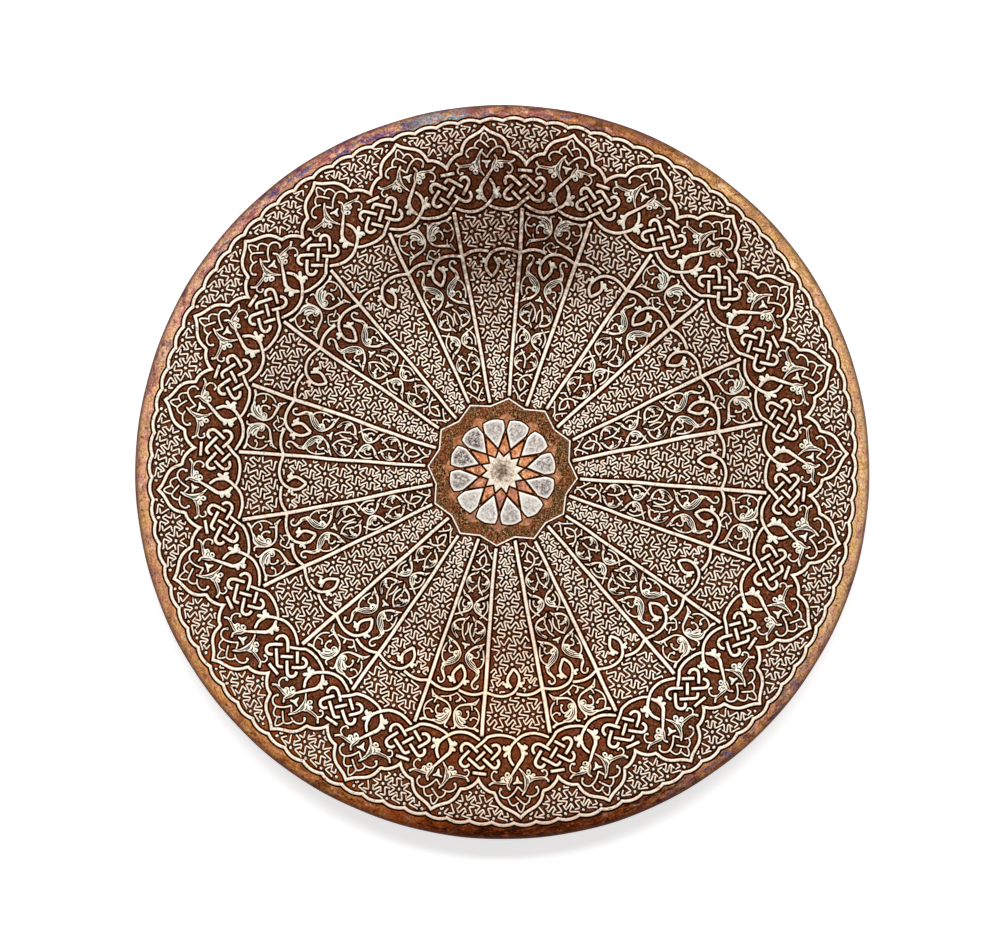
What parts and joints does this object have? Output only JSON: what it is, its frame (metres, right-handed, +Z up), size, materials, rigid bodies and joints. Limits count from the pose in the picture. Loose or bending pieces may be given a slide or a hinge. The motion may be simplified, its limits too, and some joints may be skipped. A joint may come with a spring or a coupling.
{
  "type": "inlaid copper tray",
  "caption": "Round dished copper tray with silver let into its face: a star medallion, radiating ribs, an arcade of lobes and a scalloped border, for serving or display.",
  "frame": {"origin": "centre of the underside of the flat base, at its lowest height", "axes": "+Z up through the middle of the tray, out of its decorated face; +Y towards the top of the pattern as pictured; +X to the right of it"},
  "size_m": [0.4, 0.4, 0.027],
  "materials": {
    "copper": "worn and patinated copper, plain at the rim and dark brown between the inlay",
    "silver": "hammered silver with a soft sheen and grey wear"
  },
  "bodies": {
    "root": {"arcade": "silver", "center_star": "silver", "outer_arcs": "silver", "petal_01": "silver", "petal_02": "silver", "petal_03": "silver", "petal_04": "silver", "petal_05": "silver", "petal_06": "silver", "petal_07": "silver", "petal_08": "silver", "petal_09": "silver", "petal_10": "silver", "petal_11": "silver", "petal_12": "silver", "rib_01": "silver", "rib_02": "silver", "rib_03": "silver", "rib_04": "silver", "rib_05": "silver", "rib_06": "silver", "rib_07": "silver", "rib_08": "silver", "rib_09": "silver", "rib_10": "silver", "rib_11": "silver", "rib_12": "silver", "rib_13": "silver", "rib_14": "silver", "rib_15": "silver", "rib_16": "silver", "rib_17": "silver", "rib_18": "silver", "rib_19": "silver", "rib_20": "silver", "rib_21": "silver", "rib_22": "silver", "rib_23": "silver", "rib_24": "silver", "scalloped_border": "silver", "star_outline": "silver", "tray_body": "copper"}
  },
  "joints": []
}
